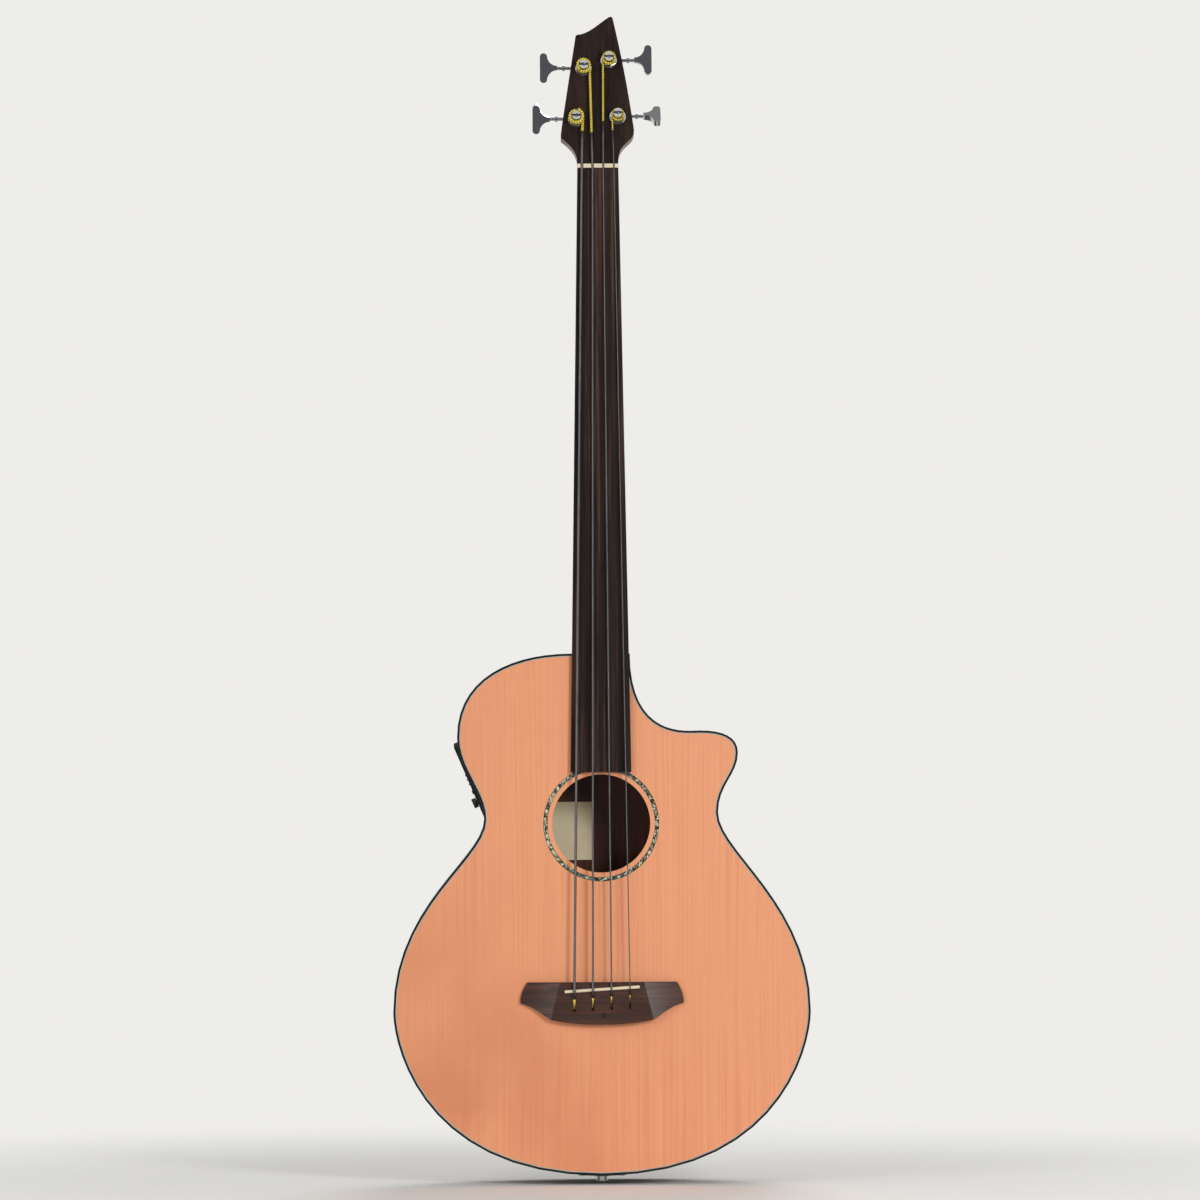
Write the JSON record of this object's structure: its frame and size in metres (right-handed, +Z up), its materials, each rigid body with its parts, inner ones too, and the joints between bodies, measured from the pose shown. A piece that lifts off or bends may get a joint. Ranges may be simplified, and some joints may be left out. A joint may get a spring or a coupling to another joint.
{
  "type": "acoustic bass guitar",
  "caption": "Fretless acoustic bass guitar with a soft cutaway, scooped pinless bridge, open worm-and-wheel tuners, side preamp and end-pin jack.",
  "frame": {"origin": "on the centre line, at the nut's playing face, in the plane of the soundboard's outer face", "axes": "+Z up the neck to the headstock, +X to the treble side (the cutaway), +Y from the soundboard to the back"},
  "size_m": [0.4394, 0.1316, 1.2354],
  "materials": {
    "top_wood": "satin cedar",
    "side_wood": "satin dark wood",
    "neck_wood": "satin mahogany",
    "inner_wood": "bare spruce and mahogany",
    "dark_wood": "oiled rosewood",
    "binding": "satin black",
    "light_line": "pale grey fibre",
    "shell": "polished shell",
    "bone": "polished bone",
    "steel": "plain",
    "brass": "plain",
    "chrome": "polished",
    "string_steel": "wound",
    "black_plastic": "fine texture",
    "grey_plastic": "satin",
    "battery_case": "bare case",
    "cable": "round lead"
  },
  "bodies": {
    "guitar": {"soundboard": "top_wood", "back_plate": "side_wood", "sides": "side_wood", "neck_block": "inner_wood", "tail_block": "inner_wood", "linings": "inner_wood", "top_braces": "inner_wood", "bridge_plate": "inner_wood", "back_braces": "inner_wood", "rosette": "shell", "purfling": "light_line", "top_binding": "binding", "back_binding": "binding", "neck": "neck_wood", "headplate": "dark_wood", "fingerboard": "dark_wood", "nut": "bone", "truss_rod": "steel", "neck_bolts": "steel", "heel_cap": "dark_wood", "inlay_dots": "light_line", "bridge": "dark_wood", "saddle": "bone", "saddle_pickup": "brass", "string_e": "string_steel", "string_a": "string_steel", "string_d": "string_steel", "string_g": "string_steel", "tuner_plate_e": "chrome", "tuner_plate_a": "chrome", "tuner_plate_d": "chrome", "tuner_plate_g": "chrome", "tuner_bushings": "chrome", "wood_screws": "chrome", "preamp_panel": "black_plastic", "preamp_housing": "black_plastic", "battery": "battery_case", "inner_lead": "cable", "jack_plate": "black_plastic", "output_jack": "chrome", "heel_strap_button": "chrome"},
    "key_e": {"tuner_key_e": "chrome"},
    "post_e": {"tuner_post_e": "chrome", "tuner_gear_e": "brass"},
    "key_a": {"tuner_key_a": "chrome"},
    "post_a": {"tuner_post_a": "chrome", "tuner_gear_a": "brass"},
    "key_d": {"tuner_key_d": "chrome"},
    "post_d": {"tuner_post_d": "chrome", "tuner_gear_d": "brass"},
    "key_g": {"tuner_key_g": "chrome"},
    "post_g": {"tuner_post_g": "chrome", "tuner_gear_g": "brass"},
    "volume": {"volume_knob": "black_plastic"},
    "bass": {"bass_slider": "grey_plastic"},
    "middle": {"middle_slider": "grey_plastic"},
    "treble": {"treble_slider": "grey_plastic"},
    "phase": {"phase_button": "black_plastic"},
    "door": {"battery_door": "black_plastic"},
    "rod_nut": {"truss_rod_nut": "brass"}
  },
  "joints": [
    {"name": "key_e_turn", "type": "hinge", "parent": "guitar", "child": "key_e", "pos_m": [-0.0224, 0.03398, 0.0558], "axis": [1, 0, 0], "continuous": true},
    {"name": "post_e_turn", "type": "hinge", "parent": "guitar", "child": "post_e", "pos_m": [-0.0224, 0.00807, 0.05272], "axis": [0, 0.9781, -0.2079], "continuous": true},
    {"name": "key_a_turn", "type": "hinge", "parent": "guitar", "child": "key_a", "pos_m": [-0.0142, 0.0457, 0.11097], "axis": [1, 0, 0], "continuous": true},
    {"name": "post_a_turn", "type": "hinge", "parent": "guitar", "child": "post_a", "pos_m": [-0.0142, 0.0198, 0.10789], "axis": [0, 0.9781, -0.2079], "continuous": true},
    {"name": "key_d_turn", "type": "hinge", "parent": "guitar", "child": "key_d", "pos_m": [0.0126, 0.04749, 0.11938], "axis": [1, 0, 0], "continuous": true},
    {"name": "post_d_turn", "type": "hinge", "parent": "guitar", "child": "post_d", "pos_m": [0.0126, 0.02159, 0.1163], "axis": [0, 0.9781, -0.2079], "continuous": true},
    {"name": "key_g_turn", "type": "hinge", "parent": "guitar", "child": "key_g", "pos_m": [0.0215, 0.03454, 0.05844], "axis": [1, 0, 0], "continuous": true},
    {"name": "post_g_turn", "type": "hinge", "parent": "guitar", "child": "post_g", "pos_m": [0.0215, 0.00863, 0.05536], "axis": [0, 0.9781, -0.2079], "continuous": true},
    {"name": "volume_turn", "type": "hinge", "parent": "guitar", "child": "volume", "pos_m": [-0.13017, 0.036, -0.66798], "axis": [-0.9191, 0, -0.3939], "range_deg": [-140, 140]},
    {"name": "bass_slide", "type": "slide", "parent": "guitar", "child": "bass", "axis": [0, 1, 0], "range_m": [-0.007, 0.007]},
    {"name": "middle_slide", "type": "slide", "parent": "guitar", "child": "middle", "axis": [0, 1, 0], "range_m": [-0.007, 0.007]},
    {"name": "treble_slide", "type": "slide", "parent": "guitar", "child": "treble", "axis": [0, 1, 0], "range_m": [-0.007, 0.007]},
    {"name": "phase_press", "type": "slide", "parent": "guitar", "child": "phase", "axis": [0.9191, 0, 0.3939], "range_m": [0, 0.0008], "stiffness_N_per_m": 150, "springref_m": -0.0004},
    {"name": "door_swing", "type": "hinge", "parent": "guitar", "child": "door", "pos_m": [-0.1526, 0.036, -0.61286], "axis": [0, 1, 0], "range_deg": [0, 95]},
    {"name": "rod_nut_turn", "type": "hinge", "parent": "guitar", "child": "rod_nut", "pos_m": [0, 0.01, -0.538], "axis": [0, 0, 1], "range_deg": [-180, 180]}
  ],
  "couplings": [
    {"joint": "post_e_turn", "follows": "key_e_turn", "ratio": -0.05},
    {"joint": "post_a_turn", "follows": "key_a_turn", "ratio": -0.05},
    {"joint": "post_d_turn", "follows": "key_d_turn", "ratio": -0.05},
    {"joint": "post_g_turn", "follows": "key_g_turn", "ratio": -0.05}
  ]
}
